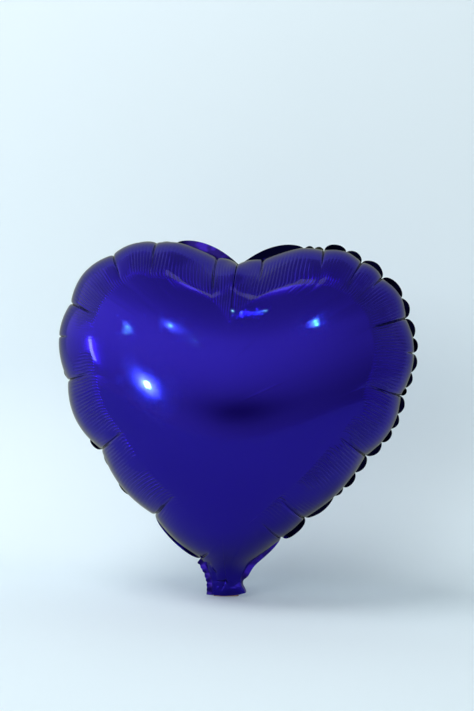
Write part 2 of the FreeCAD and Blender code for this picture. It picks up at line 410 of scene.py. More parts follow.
# %% [markdown]
# ## Pleats, pillows and the crumpled tail
#
# Just inside the weld the film bulges out past it like a tyre. Every long pleat pulls that tyre in
# to a sharp dark line, and between two pleats it swells to a pillow, which also bows the weld itself
# outwards. The tail is crumpled where it carries the weight: a few short straight folds run out from
# one dented point, and one lies along the hem.

# %% Places between pleats
NICK = 12 * MM
NOTCH_PLEAT = 22 * MM


def share_between(distance, places):
    """The index of the place before a distance and the share of the way to the next one."""
    if not places[0] <= distance < places[-1]:
        return None
    index = max(k for k, place in enumerate(places) if place <= distance)
    return index, (distance - places[index]) / (places[index + 1] - places[index])


def all_pleats(side):
    """Every pleat of one side with its length, the one down from the notch included."""
    return list(PLEATS[side].items()) + [(WELD_LENGTH, NOTCH_PLEAT)]


def full_pleats(side):
    """Places of the pleats that part one pillow from the next; a shorter one only nicks the weld."""
    return sorted(place for place, length in PLEATS[side].items() if length > NICK)


print("pleats that part two pillows", {side: len(full_pleats(side)) for side in (1, -1)})

# %% Tyre and pillows
TYRE_RISE = {1: 1.8 * MM, -1: 2.6 * MM}
TYRE_START = 50 * MM
PILLOW_RISE = 2.4 * MM
PILLOW_REACH = 18 * MM
PILLOW_SPAN = 60 * MM
PILLOW_ROUND = 0.75
PILLOW_SINK = 0.45
CLEFT_START = 486 * MM
CLEFT_FADE = 25 * MM
CLEFT_RISE = 0.45
WELD_EASE = 0.8 * MM


def tyre(side):
    """How far the film near the weld stands out along its normal; beside the cleft it does so less."""
    inward = GRID[side]["inward"]
    stops = full_pleats(side) + [WELD_LENGTH + 0.1 * MM]
    reach = np.exp(-((inward / PILLOW_REACH) ** 1.5)) * np.clip(inward / WELD_EASE, 0, 1)
    rises = []
    for distance in COLUMNS[side]:
        beside_cleft = max(distance - CLEFT_START, 0) / CLEFT_FADE
        rise = TYRE_RISE[side] * min(1, distance / TYRE_START) * max(1 - beside_cleft, CLEFT_RISE)
        found = share_between(distance, stops)
        if found:
            span = stops[found[0] + 1] - stops[found[0]]
            swollen = math.sin(math.pi * found[1]) ** PILLOW_ROUND - PILLOW_SINK
            rise += PILLOW_RISE * min(1, span / PILLOW_SPAN) * swollen
        rises.append(rise)
    return np.array(rises)[:, None] * reach


print("tyre stands out by up to", {side: round(float(tyre(side).max()), 4) for side in (1, -1)})

# %% Pleats drawn in
PLEAT_DEPTH = 2.5 * MM
PLEAT_WIDTH = 0.6 * MM
PLEAT_SPREAD = 0.012
PLEAT_FADE = 0.35


def pleat_dents(side, length_scale):
    """How far the pleats draw the film in along its normal."""
    inward = GRID[side]["inward"]
    dents = np.zeros_like(inward)
    for place, length in all_pleats(side):
        away = np.abs(COLUMNS[side] - place)[:, None]
        fade = np.clip(1 - inward / (length * length_scale), 0, 1) ** PLEAT_FADE
        if place > GATHERS_END[side]:
            fade = fade * np.clip(inward / WELD_EASE, 0, 1)
        dents += PLEAT_DEPTH * fade * np.exp(-away / (PLEAT_WIDTH + PLEAT_SPREAD * inward))
    return dents


print("pleats draw it in by up to", {side: round(float(pleat_dents(side, 1.0).max()), 4) for side in (1, -1)})

# %% Bows of the weld
# Start of a run between two long pleats, and how far its middle bows out, in millimetres.
BOWS = {1: {112: 3, 200: 3, 270: 3, 349: 2.5, 396: 2, 422: 2},
        -1: {41: 1.5, 105: 4.5, 190: 4, 269: 3, 349: 2.5, 416: 1}}
BOW_REACH = 45 * MM
BOW_WHOLE = 0.7  # share of the half width beyond which the bow is whole
HEM_BULGE = {1: 5.5 * MM, -1: 0}
HEM_BULGE_TOP = 22 * MM


def bow(side):
    """How far each point of one side moves outwards in the seam's plane; the middle line stays."""
    stops = full_pleats(side)
    amounts = []
    for distance in COLUMNS[side]:
        found = share_between(distance, stops)
        height = BOWS[side].get(round(stops[found[0]] / MM), 0) if found else 0
        amount = height * MM * math.sin(math.pi * found[1]) if found else 0
        if distance < HEM_BULGE_TOP:
            amount += HEM_BULGE[side] * math.cos(math.pi / 2 * distance / HEM_BULGE_TOP) ** 2
        amounts.append(amount)
    across = GRID[side]["points"][..., 0]
    off_middle = np.clip(across / np.maximum(BOW_WHOLE * across[:, :1], 1 * MM), 0, 1)
    return np.array(amounts)[:, None] * off_middle * np.exp(-((GRID[side]["inward"] / BOW_REACH) ** 2))


print("weld bows out by up to", {side: round(float(bow(side).max()), 4) for side in (1, -1)})

# %% Folds of the tail
# From (x, z), to (x, z), depth and width, in millimetres; a negative depth stands up as a ridge.
FRONT_FOLDS = [
    ((-1, 15), (-11, 16), 1.6, 1.3), ((-1, 15), (1, 20), 1.3, 1.1), ((-1, 15), (-4, 7), 1.4, 1.4),
    ((-1, 15), (9, 9), 1.0, 1.8), ((7, 13), (18, 19), 1.2, 1.8), ((-11, 27), (-9, 16), 1.0, 1.2),
    ((-16, 35), (-11, 25), 1.3, 0.9), ((-11, 25), (-9, 14), 1.2, 0.9), ((-8, 12), (-13, 2), 1.0, 1.0),
    ((2, 8), (15, 11), -0.8, 2.8), ((-6, 11), (-12, 5), -0.7, 2.2), ((4, 22), (14, 28), 0.4, 3.0),
]
REAR_FOLDS = [
    ((3, 14), (-9, 18), 1.5, 1.4), ((3, 14), (12, 20), 1.3, 1.3), ((3, 14), (0, 5), 1.4, 1.4),
    ((-4, 10), (-13, 8), -1.1, 2.0), ((8, 9), (14, 4), 1.1, 1.5), ((-3, 24), (4, 32), 0.6, 2.4),
]
FOLD_FADE = 0.6  # share of its depth that a fold loses from one end to the other


def tail_folds(x, z, folds):
    """The height of the tail's folds at points (x, z)."""
    height = np.zeros_like(x)
    for start, end, depth, width in folds:
        ux, uz = (end[0] - start[0]) * MM, (end[1] - start[1]) * MM
        length = math.hypot(ux, uz)
        ux, uz = ux / length, uz / length
        dx, dz = x - start[0] * MM, z - start[1] * MM
        along = np.clip(dx * ux + dz * uz, 0, length)
        away = np.hypot(dx - along * ux, dz - along * uz) / (width * MM)
        height -= depth * MM * np.exp(-away) * (1 - FOLD_FADE * along / length)
    return height


print("folds", len(FRONT_FOLDS), "in front,", len(REAR_FOLDS), "behind")

# %% All the relief together
FOLD_LIMIT = 0.7  # share of the film's height that a fold may take away
REAR_PLEATS = 0.8  # length of the rear film's pleats beside the front one's


def relief(side, face):
    """How far each point of one side moves along the film's normal."""
    points, inward, height = (GRID[side][name] for name in ("points", "inward", "height"))
    folds = tail_folds(side * points[..., 0], points[..., 1], FRONT_FOLDS if face == "front" else REAR_FOLDS)
    folds = np.where(inward > 0, np.maximum(folds, -FOLD_LIMIT * height), 0)
    return tyre(side) - pleat_dents(side, 1.0 if face == "front" else REAR_PLEATS) + folds


print("relief of the front", {side: round(float(np.ptp(relief(side, "front"))), 4) for side in (1, -1)})

# %% [markdown]
# ## The two films
#
# Front and rear are cut alike, so one function builds either. Each has its own copy of the flat
# welded margin. Between two gathers the margin stands out as a blade; at a gather it folds away. The
# tail leans a little to one side on its hem.

# %% Hem and mouth
HEM_WAVE = 1.0 * MM
HEM_WAVE_RUNS = (5.2 * MM, 2.9 * MM)
HEM_WAVE_SKEW = 6 * MM
HEM_WAVE_TOP = 26 * MM
MOUTH_SLANT = 4 * MM


def hem_bend(x, z):
    """The whole hem waves to the front and back together; higher up the gas pulls it straight."""
    long_run, short_run = HEM_WAVE_RUNS
    wave = np.sin(x / long_run + 0.8) + 0.5 * np.sin(x / short_run + z / HEM_WAVE_SKEW)
    return HEM_WAVE * wave * np.clip(1 - z / HEM_WAVE_TOP, 0, 1)


def mouth_slant(x):
    """How far the mouth's edge is lifted towards its right corner."""
    return MOUTH_SLANT * np.clip(x / (TAIL_WIDTH / 2), 0, 1) ** 2


print("the mouth's right corner is", round(float(mouth_slant(TAIL_WIDTH / 2)) / MM, 1), "mm above its middle")

# %% How the margin stands
BLADE_FOLD = 0.15
LENS_WIDTH = 1.3
LENS_TURN = 0.78
LENS_SWING = {1: 0.03, -1: 0.26}
# On the right the margin is folded away below a notch in it, and tapers up to the first gather.
NECK_NOTCH = 20 * MM
NECK_NOTCH_EDGE = 2 * MM
NECK_NOTCH_FOLD = 0.85
NECK_NOTCH_SWING = 0.6
NECK_TAPER = 0.35
NECK_SWING = 0.12
# On the left it waves.
NECK_WAVE = 11 * MM
NECK_WAVE_START = 8 * MM
NECK_WAVE_REACH = 0.95
NECK_WAVE_DIP = 0.1
NECK_WAVE_SWING = 0.25


def margin_stand(side, distance):
    """How far the margin stands out at a distance, as a share of its width, and how far it swings."""
    found = share_between(distance, GATHERS[side])
    if found:
        widest = list(BLADES[side].values())[found[0]]
        way = 1 if found[0] % 3 else -1
        reach = widest * (BLADE_FOLD + (1 - BLADE_FOLD) * math.sin(math.pi * found[1]) ** 0.5)
        return reach, way * math.sqrt(1 - reach**2) * min(1, 8 * found[1] * (1 - found[1]))
    if distance >= GATHERS_END[side]:
        share = (distance - GATHERS_END[side]) / (WELD_LENGTH - GATHERS_END[side])
        bulge = math.sin(math.pi * share**0.6 * LENS_TURN)
        return BLADE_FOLD + (LENS_WIDTH - BLADE_FOLD) * bulge, LENS_SWING[side]
    if side == 1:
        share = distance / GATHERS[side][0]
        folded = 1 / (1 + math.exp((distance - NECK_NOTCH) / NECK_NOTCH_EDGE))
        reach = (1 - NECK_NOTCH_FOLD * folded) * (1 - share**8) * (1 - NECK_TAPER * share)
        return reach, NECK_NOTCH_SWING * folded + NECK_SWING
    wave = math.sin(2 * math.pi * distance / NECK_WAVE) * min(1, distance / NECK_WAVE_START)
    return NECK_WAVE_REACH - NECK_WAVE_DIP * abs(wave), NECK_WAVE_SWING * wave


print("margin at the first gather on the right", [round(v, 2) for v in margin_stand(1, GATHERS[1][0])])

# %% Half a film
FILM_GAP = 0.15 * MM
MARGIN_ROWS = 2
MARGIN_CUP = 0.5 * MM
TAIL_LEAN = 2.5 * MM
LEAN_TOP = 75 * MM
HEM_LIFT_TOP = 14 * MM
MOUTH_LIFT = 0.8 * MM


def normals(surface):
    """Unit normals of a grid of points, from the differences between neighbours."""
    along = np.gradient(surface, axis=0)
    across = np.gradient(surface, axis=1)
    normal = np.cross(along, across)
    return normal / np.maximum(np.linalg.norm(normal, axis=2, keepdims=True), NEARLY_ZERO)


def half_film(side, face):
    """One half of a film as a grid of points: two rows of margin, then the swollen film."""
    grid = GRID[side]
    points = grid["points"]
    surface = np.stack([points[..., 0], -grid["height"], points[..., 1] + grid["lift"]], axis=2)
    facing = normals(surface)
    if facing[len(facing) // 2, BAND_ROWS, 1] > 0:
        facing = -facing
    facing[:, -1, 0] = 0
    facing[-1, :, 0] = 0
    shift = relief(side, face)
    facing[:, 0] = facing[:, 1]
    facing[:, 0, 1] = 0
    surface = surface + facing * shift[..., None]
    rims = np.array([seam_point(distance, 0) for distance in COLUMNS[side]])
    outward = (rims - points[:, 0]) / SEAL_WIDTH
    surface[..., [0, 2]] += outward[:, None] * bow(side)[..., None]
    margin = []
    for i, distance in enumerate(COLUMNS[side]):
        rim = Vector(surface[i, 0])
        out = Vector((outward[i, 0], 0, outward[i, 1])) * SEAL_WIDTH
        reach, swing = margin_stand(side, distance)
        edge = rim + out * reach + Vector((0, swing * SEAL_WIDTH, 0))
        middle = rim.lerp(edge, 0.5) + Vector((0, swing * MARGIN_CUP, 0))
        margin.append([edge, middle])
    surface = np.concatenate([np.array(margin), surface], axis=1)
    inside = MARGIN_ROWS + 1
    surface[:, inside:, 1] -= FILM_GAP
    surface[..., 0] *= side
    if face == "rear":
        surface[:, inside:, 1] *= -1
    surface[:, :inside, 1] += FILM_GAP * (1 if face == "rear" else -1)
    surface[..., 1] += hem_bend(surface[..., 0], surface[..., 2])
    surface[..., 0] += TAIL_LEAN * np.clip(1 - surface[..., 2] / LEAN_TOP, 0, 1) ** 1.5
    low = np.clip(1 - surface[..., 2] / HEM_LIFT_TOP, 0, 1)
    surface[..., 2] += low * (MOUTH_LIFT + mouth_slant(surface[..., 0]))
    return surface


print("half a film is", " x ".join(str(count) for count in half_film(1, "front").shape[:2]), "points")

# %% Points, faces and creases
PLEAT_CREASED = 0.95


def add_half(build, side, face):
    """One half of a film, added to the mesh being built, with what its points and edges carry."""
    along_layer, inward_layer = (build.verts.layers.float[name] for name in ("along_seam", "inside_seam"))
    crease = build.edges.layers.float["crease_edge"]
    surface = half_film(side, face)
    columns, rows = surface.shape[:2]
    inward = GRID[side]["inward"]
    verts = [[build.verts.new(surface[i, j]) for j in range(rows)] for i in range(columns)]
    for i in range(columns):
        for j in range(rows):
            outside = -SEAL_WIDTH * (MARGIN_ROWS - j) / MARGIN_ROWS
            verts[i][j][along_layer] = side * COLUMNS[side][i]
            verts[i][j][inward_layer] = inward[i][j - MARGIN_ROWS] if j >= MARGIN_ROWS else outside
    outward = (side == 1) == (face == "front")
    for i in range(columns - 1):
        for j in range(rows - 1):
            corners = [verts[i][j], verts[i + 1][j], verts[i + 1][j + 1], verts[i][j + 1]]
            build.faces.new(corners if outward else corners[::-1])
        build.edges.get((verts[i][MARGIN_ROWS], verts[i + 1][MARGIN_ROWS]))[crease] = 1.0
    for place, length in all_pleats(side):
        i = int(np.abs(COLUMNS[side] - place).argmin())
        for j in range(MARGIN_ROWS, rows - 1):
            if inward[i][j - MARGIN_ROWS] < PLEAT_CREASED * length:
                build.edges.get((verts[i][j], verts[i][j + 1]))[crease] = 1.0


print("pleats stay sharp for", PLEAT_CREASED, "of their length")

# %% Front and rear film
JOIN_DISTANCE = 1e-6


def film_mesh(name, face):
    """A whole film: both halves joined along the middle line, then smoothed once."""
    mesh = bpy.data.meshes.new(name)
    build = bmesh.new()
    build.verts.layers.float.new("along_seam")
    build.verts.layers.float.new("inside_seam")
    build.edges.layers.float.new("crease_edge")
    for side in (1, -1):
        add_half(build, side, face)
    bmesh.ops.remove_doubles(build, verts=build.verts, dist=JOIN_DISTANCE)
    build.to_mesh(mesh)
    build.free()
    for polygon in mesh.polygons:
        polygon.use_smooth = True
    film = bpy.data.objects.new(name, mesh)
    bpy.context.scene.collection.objects.link(film)
    film.modifiers.new("smooth", "SUBSURF").levels = 1
    settled = bpy.data.meshes.new_from_object(film.evaluated_get(bpy.context.evaluated_depsgraph_get()))
    film.modifiers.clear()
    film.data = settled
    return film


front = film_mesh("balloon_front", "front")
rear = film_mesh("balloon_rear", "rear")
print("faces", len(front.data.polygons), len(rear.data.polygons))

# %% [markdown]
# ## The valve
#
# Gas goes in between two thin clear plies that run up the inside of the tail, and the pressure then
# flattens them shut. Only their printed ends show, as a thin line in the mouth. Each is a narrow
# sheet that keeps to the middle of the tail and wanders a little where it hangs free.

# %% Room in the neck
def neck_half_width(z):
    """Half the width between the welds at a height in the tail or its neck fillet."""
    radius = NECK_FILLET + SEAL_WIDTH
    return TAIL_WIDTH / 2 + NECK_FILLET - math.sqrt(max(radius**2 - max(z - TAIL_STRAIGHT, 0) ** 2, 0))


print("between the welds, the mouth is", round(2 * neck_half_width(0), 4), "m wide")

# %% Valve plies
PLY_LOW, PLY_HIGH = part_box("front_valve_ply")
PLY_GAP = 0.05 * MM
PLY_SHOWS = 0.8 * MM
PLY_TRIM = 0.5 * MM
PLY_CLEARANCE = 0.7 * MM
PLY_HELD = 30 * MM
PLY_SWAY = 2.5 * MM
PLY_SWAY_RUN = 14 * MM
PLY_CURL = 0.8 * MM
PLY_CURL_RUN = 6 * MM
PLY_COLUMNS = 13
PLY_ROWS = 49


def valve_ply(name, face):
    """One ply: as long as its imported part, and narrowed to pass between the welds of tail and neck."""
    way = -1 if face == "front" else 1
    widest = (PLY_HIGH.x - PLY_LOW.x) / 2 - PLY_TRIM
    top = PLY_HIGH.z
    across, up = PLY_COLUMNS, PLY_ROWS
    verts = []
    for row in range(up):
        z = top * row / (up - 1)
        half = min(widest, neck_half_width(z) - PLY_CLEARANCE)
        free = max(z - PLY_HELD, 0)
        for step in range(across):
            x = half * (2 * step / (across - 1) - 1)
            lifted = z + max(1 - z / HEM_LIFT_TOP, 0) * (MOUTH_LIFT - PLY_SHOWS + mouth_slant(x))
            curl = PLY_CURL * math.sin(x / PLY_CURL_RUN) * free / top
            sway = PLY_SWAY * math.sin(free / PLY_SWAY_RUN) + curl
            y = float(hem_bend(np.array(x), np.array(z))) + sway + way * PLY_GAP
            verts.append((x + TAIL_LEAN * max(1 - z / LEAN_TOP, 0) ** 1.5, y, lifted))
    faces = [(r * across + c, r * across + c + 1, (r + 1) * across + c + 1, (r + 1) * across + c)
             for r in range(up - 1) for c in range(across - 1)]
    mesh = bpy.data.meshes.new(name)
    mesh.from_pydata(verts, [], faces)
    for polygon in mesh.polygons:
        polygon.use_smooth = True
    ply = bpy.data.objects.new(name, mesh)
    bpy.context.scene.collection.objects.link(ply)
    return ply


front_ply = valve_ply("valve_ply_front", "front")
rear_ply = valve_ply("valve_ply_rear", "rear")
print("plies reach up to", round(PLY_HIGH.z, 4))

# %% [markdown]
# ## Fine relief shared by the finishes
#
# Thin film is never quite flat. Both the foil and the clear plies waver over a few centimetres, and
# the foil also carries fine ripples square to the weld, in a band a little way inside it. These are
# far too shallow to change the outline, so they are heights for a Bump node. Each effect is a group
# with named inputs, so each finish sets its own amounts.

# %% A group and its sums
def new_group(name, inputs, outputs):
    """An empty node group with float sockets; returns it with its ends."""
    group = bpy.data.node_groups.new(name, "ShaderNodeTree")
    for socket, value in inputs.items():
        opening = group.interface.new_socket(socket, in_out="INPUT", socket_type="NodeSocketFloat")
        opening.default_value = value
    for socket in outputs:
        group.interface.new_socket(socket, in_out="OUTPUT", socket_type="NodeSocketFloat")
    return group, group.nodes.new("NodeGroupInput").outputs, group.nodes.new("NodeGroupOutput").inputs


def calculate(tree, how, *values):
    """A Math node; each value is a number or another node's output."""
    node = tree.nodes.new("ShaderNodeMath")
    node.operation = how
    for socket, value in zip(node.inputs, values):
        if isinstance(value, (int, float)):
            socket.default_value = value
        else:
            tree.links.new(value, socket)
    return node.outputs[0]


operations = bpy.types.ShaderNodeMath.bl_rna.properties["operation"].enum_items
print("a Math node knows", len(operations), "operations")

# %% Waver of thin film
def noise(tree, scale, detail=2.0):
    """A soft noise between 0 and 1, in the object's own metres."""
    node = tree.nodes.new("ShaderNodeTexNoise")
    node.inputs["Detail"].default_value = detail
    if isinstance(scale, (int, float)):
        node.inputs["Scale"].default_value = scale
    else:
        tree.links.new(scale, node.inputs["Scale"])
    tree.links.new(tree.nodes.new("ShaderNodeTexCoord").outputs["Object"], node.inputs["Vector"])
    return node.outputs["Fac"]


WAVER, ends_in, ends_out = new_group("film_waver", {"Scale": 25.0, "Height": 0.1 * MM}, ["Height"])
broad = noise(WAVER, ends_in["Scale"], 1.0)
WAVER.links.new(calculate(WAVER, "MULTIPLY", broad, ends_in["Height"]), ends_out["Height"])
print("group", WAVER.name, [item.name for item in WAVER.interface.items_tree])

# %% Measures along the seam
def seam_value(tree, name):
    """A measure that the film mesh carries: the distance along the seam or inside it."""
    node = tree.nodes.new("ShaderNodeAttribute")
    node.attribute_name = name
    return node.outputs["Fac"]


def step_up(tree, value, low, high):
    """0 below low, 1 above high and smooth between them."""
    node = tree.nodes.new("ShaderNodeMapRange")
    node.interpolation_type = "SMOOTHSTEP"
    tree.links.new(value, node.inputs["Value"])
    for name, end in (("From Min", low), ("From Max", high)):
        if isinstance(end, (int, float)):
            node.inputs[name].default_value = end
        else:
            tree.links.new(end, node.inputs[name])
    return node.outputs["Result"]


print("the film carries", [layer.name for layer in front.data.attributes if layer.data_type == "FLOAT"])

# %% Ripples beside the weld
RIPPLE_LENGTH = 3.7 * MM
RIPPLE_DRIFT = 16.0  # how far a broad noise shifts the ripples, in radians
ABOVE_NECK = (70 * MM, 110 * MM)
BAND_EDGE = 3 * MM
BAND_EASE = 0.8  # share of the band's end at which the ripples start to fade
RIPPLE_PATCHES = (0.32, 0.52)  # levels of a noise between which the ripples come in
RIPPLES, ends_in, ends_out = new_group(
    "seam_ripples", {"Length": RIPPLE_LENGTH, "Height": 0.3 * MM, "Band Start": 22 * MM, "Band End": 41 * MM},
    ["Height"])
along = calculate(RIPPLES, "ABSOLUTE", seam_value(RIPPLES, "along_seam"))
inside = seam_value(RIPPLES, "inside_seam")
drift = calculate(RIPPLES, "MULTIPLY", noise(RIPPLES, 14.0, 1.0), RIPPLE_DRIFT)
turns = calculate(RIPPLES, "DIVIDE", along, ends_in["Length"])
phase = calculate(RIPPLES, "ADD", calculate(RIPPLES, "MULTIPLY", turns, 2 * math.pi), drift)
wave = calculate(RIPPLES, "SINE", phase)
begin = step_up(RIPPLES, inside, BAND_EDGE, ends_in["Band Start"])
finish = step_up(RIPPLES, inside, calculate(RIPPLES, "MULTIPLY", ends_in["Band End"], BAND_EASE),
                 ends_in["Band End"])
patches = step_up(RIPPLES, noise(RIPPLES, 22.0, 1.0), *RIPPLE_PATCHES)
above_neck = calculate(RIPPLES, "MULTIPLY", begin, step_up(RIPPLES, along, *ABOVE_NECK))
band = calculate(RIPPLES, "MULTIPLY", above_neck, calculate(RIPPLES, "SUBTRACT", 1.0, finish))
amount = calculate(RIPPLES, "MULTIPLY", calculate(RIPPLES, "MULTIPLY", band, patches), ends_in["Height"])
RIPPLES.links.new(calculate(RIPPLES, "MULTIPLY", wave, amount), ends_out["Height"])
print("group", RIPPLES.name, "ripples every", round(RIPPLE_LENGTH / MM, 1), "mm")

# %% [markdown]
# ## The foil
#
# The film is plastic with a layer of metal under a violet-blue lacquer, so it is a tinted mirror
# with a clear top. A mirror shows the room and not its own shade, so the film is kept smooth. The
# welded margin was pressed between hot bars, which leaves it duller than the film inside it. Where it
# is gathered its crushed blades shade each other. The blades here are plainer than real ones, so
# that shade is in the colour, nearly black.

# %% A material and its effects
def material(name):
    """A new material with its shader."""
    item = bpy.data.materials.new(name)
    item.use_nodes = True
    return item, item.node_tree, item.node_tree.nodes["Principled BSDF"]


def use_group(tree, group, **values):
    """A copy of a shared group in a material, with its own amounts."""
    node = tree.nodes.new("ShaderNodeGroup")
    node.node_tree = group
    for name, value in values.items():
        node.inputs[name].default_value = value
    return node.outputs["Height"]


def bump(tree, shader, height):
    """Feed a height in metres to the shader's normal."""
    node = tree.nodes.new("ShaderNodeBump")
    node.inputs["Distance"].default_value = 1.0
    tree.links.new(height, node.inputs["Height"])
    tree.links.new(node.outputs["Normal"], shader.inputs["Normal"])


foil, tree, shader = material("violet_foil")
print("the foil's shader has", len(shader.inputs), "inputs")

# %% Where the margin is open
# By distance from the mouth: the margin changes from open to gathered, or back, over each pair.
OPEN_UP_TO = {1: (78 * MM, 88 * MM), -1: (100 * MM, 110 * MM)}
LENS_OPENS = (484 * MM, 498 * MM)
LENS_CLOSES = (525 * MM, 545 * MM)
film_side = step_up(tree, seam_value(tree, "inside_seam"), -1.0 * MM, 0.0)
place = seam_value(tree, "along_seam")
right_open = calculate(tree, "SUBTRACT", 1.0, step_up(tree, place, *OPEN_UP_TO[1]))
left_open = step_up(tree, place, -OPEN_UP_TO[-1][1], -OPEN_UP_TO[-1][0])
lens_opens = step_up(tree, calculate(tree, "MULTIPLY", place, -1.0), *LENS_OPENS)
left_lens = calculate(tree, "MULTIPLY", lens_opens, step_up(tree, place, -LENS_CLOSES[1], -LENS_CLOSES[0]))
open_margin = calculate(tree, "MAXIMUM", calculate(tree, "MULTIPLY", right_open, left_open), left_lens)
print("nodes that tell film from margin, and open from gathered", len(tree.nodes))

# %% Colour of the foil
FILM_TINTS = ((0.017, 0.003, 0.41, 1), (0.023, 0.006, 0.46, 1))
# painted shade and painted sheen: the open margin's violet, darker and lighter in random patches for the
# light and shade of its crumples
OPEN_MARGIN_PAINTED_CRUMPLES = ((0.02, 0.003, 0.24, 1), (0.055, 0.012, 0.60, 1))
# painted shade: the gathered margin is nearly black for the shade its crushed blades give each other
GATHERED_PAINTED_SHADE = (0.001, 0.001, 0.02, 1)
PAINTED_CRUMPLE_LEVELS = (0.42, 0.62)
SLANT_TINT = (0.9, 0.88, 0.4, 1)  # what the foil gives back of a mirror image seen at a slant


def blend_colours(tree, share, one, other):
    """A colour between two, by a share that changes over the surface."""
    node = tree.nodes.new("ShaderNodeMix")
    node.data_type = "RGBA"
    tree.links.new(share, node.inputs["Factor"])
    for socket, colour in ((node.inputs[6], one), (node.inputs[7], other)):
        if isinstance(colour, tuple):
            socket.default_value = colour
        else:
            tree.links.new(colour, socket)
    return node.outputs[2]


cloud = noise(tree, 9.0, 3.0)
tint = blend_colours(tree, cloud, *FILM_TINTS)
# random patches where the open margin is painted darker, as in a crumple's shade, or lighter, as on its sheen
painted_crumple_patches = step_up(tree, noise(tree, 90.0, 1.0), *PAINTED_CRUMPLE_LEVELS)
open_margin_painted_crumples = blend_colours(tree, painted_crumple_patches, *OPEN_MARGIN_PAINTED_CRUMPLES)
# the margin's colour: painted shade where it is gathered, the open margin's tints where it is open
margin_tint_and_painted_shade = blend_colours(tree, open_margin, GATHERED_PAINTED_SHADE, open_margin_painted_crumples)
tree.links.new(blend_colours(tree, film_side, margin_tint_and_painted_shade, tint), shader.inputs["Base Color"])
shader.inputs["Specular Tint"].default_value = SLANT_TINT
print("violet between", FILM_TINTS[0][:3], "and", FILM_TINTS[1][:3])

# %% Shine of the foil
FILM_COAT = 0.35
MARGIN_COAT = 0.02
COAT_ROUGHNESS = 0.035
FILM_ROUGHNESS = 0.14
MARGIN_ROUGHNESS = 0.30
STREAK_ROUGHNESS = 0.04
shader.inputs["Metallic"].default_value = 1
shader.inputs["Coat Roughness"].default_value = COAT_ROUGHNESS
lit = calculate(tree, "MAXIMUM", film_side, open_margin)
coat = calculate(tree, "MULTIPLY_ADD", lit, FILM_COAT - MARGIN_COAT, MARGIN_COAT)
tree.links.new(coat, shader.inputs["Coat Weight"])
dull = calculate(tree, "MULTIPLY_ADD", film_side, FILM_ROUGHNESS - MARGIN_ROUGHNESS, MARGIN_ROUGHNESS)
streaks = calculate(tree, "MULTIPLY", noise(tree, 30.0, 3.0), STREAK_ROUGHNESS)
tree.links.new(calculate(tree, "ADD", dull, streaks), shader.inputs["Roughness"])
ripples = use_group(tree, RIPPLES, Length=RIPPLE_LENGTH, Height=0.45 * MM)
waver = use_group(tree, WAVER, Scale=16.0, Height=0.12 * MM)
bump(tree, shader, calculate(tree, "ADD", ripples, waver))
for film in (front, rear):
    film.data.materials.clear()
    film.data.materials.append(foil)
print("foil nodes", len(tree.nodes))

# %% [markdown]
# ## The clear plies
#
# The plies are thin milky plastic. Their ends at the mouth are printed tan, so that whoever fills
# the balloon can find the way in. The print is a colour that changes with height; the milkiness is
# a little roughness, and they let light through.

# %% Valve material
TAN_PRINT = (0.30, 0.16, 0.10, 1)
MILKY_PLASTIC = (0.80, 0.82, 0.86, 1)
PRINT_RAGGED = 1.5 * MM
PRINT_TOP = (3.5 * MM, 4.5 * MM)
PRINT_ALPHA = 0.95
PLASTIC_ALPHA = 0.35
PLASTIC_ROUGHNESS = 0.28
PLASTIC_STREAKS = 0.14
clear, tree, shader = material("clear_film")
place = tree.nodes.new("ShaderNodeSeparateXYZ")
tree.links.new(tree.nodes.new("ShaderNodeTexCoord").outputs["Object"], place.inputs["Vector"])
ragged = calculate(tree, "MULTIPLY", noise(tree, 400.0, 2.0), PRINT_RAGGED)
above_print = step_up(tree, calculate(tree, "ADD", place.outputs["Z"], ragged), *PRINT_TOP)
printed = blend_colours(tree, above_print, TAN_PRINT, MILKY_PLASTIC)
tree.links.new(printed, shader.inputs["Base Color"])
cleared = calculate(tree, "MULTIPLY", above_print, PRINT_ALPHA - PLASTIC_ALPHA)
tree.links.new(calculate(tree, "SUBTRACT", PRINT_ALPHA, cleared), shader.inputs["Alpha"])
streaks = calculate(tree, "MULTIPLY", noise(tree, 50.0), PLASTIC_STREAKS)
tree.links.new(calculate(tree, "ADD", PLASTIC_ROUGHNESS, streaks), shader.inputs["Roughness"])
bump(tree, shader, use_group(tree, WAVER, Scale=45.0, Height=0.15 * MM))
for ply in (front_ply, rear_ply):
    ply.data.materials.append(clear)
print("ply nodes", len(tree.nodes))

# %% [markdown]
# ## The place it stands in
#
# A pale wall that curves down into the floor, with no line between them. It stands close behind the
# balloon, and its near edge stops short of the camera, because the foil mirrors all of it. The foil
# gives back only part of what it mirrors at a slant, so in it the wall is painted a shade darker.
# Seen from behind, the wall is clear, so that it doesn't hide the balloon's back.

# %% Wall paint
WALL_TINTS = ((0.76, 0.85, 0.885, 1), (0.80, 0.875, 0.91, 1))
WALL_IN_FOIL = (0.42, 0.46, 0.48, 1)
wall_material, tree, shader = material("pale_wall")
mottle = noise(tree, 2.5, 3.0)
paint = blend_colours(tree, mottle, *WALL_TINTS)
in_foil = tree.nodes.new("ShaderNodeLightPath").outputs["Is Glossy Ray"]
tree.links.new(blend_colours(tree, in_foil, paint, WALL_IN_FOIL), shader.inputs["Base Color"])
shader.inputs["Roughness"].default_value = 0.9
from_behind = tree.nodes.new("ShaderNodeNewGeometry").outputs["Backfacing"]
tree.links.new(calculate(tree, "SUBTRACT", 1.0, from_behind), shader.inputs["Alpha"])
print("paint nodes", len(tree.nodes))

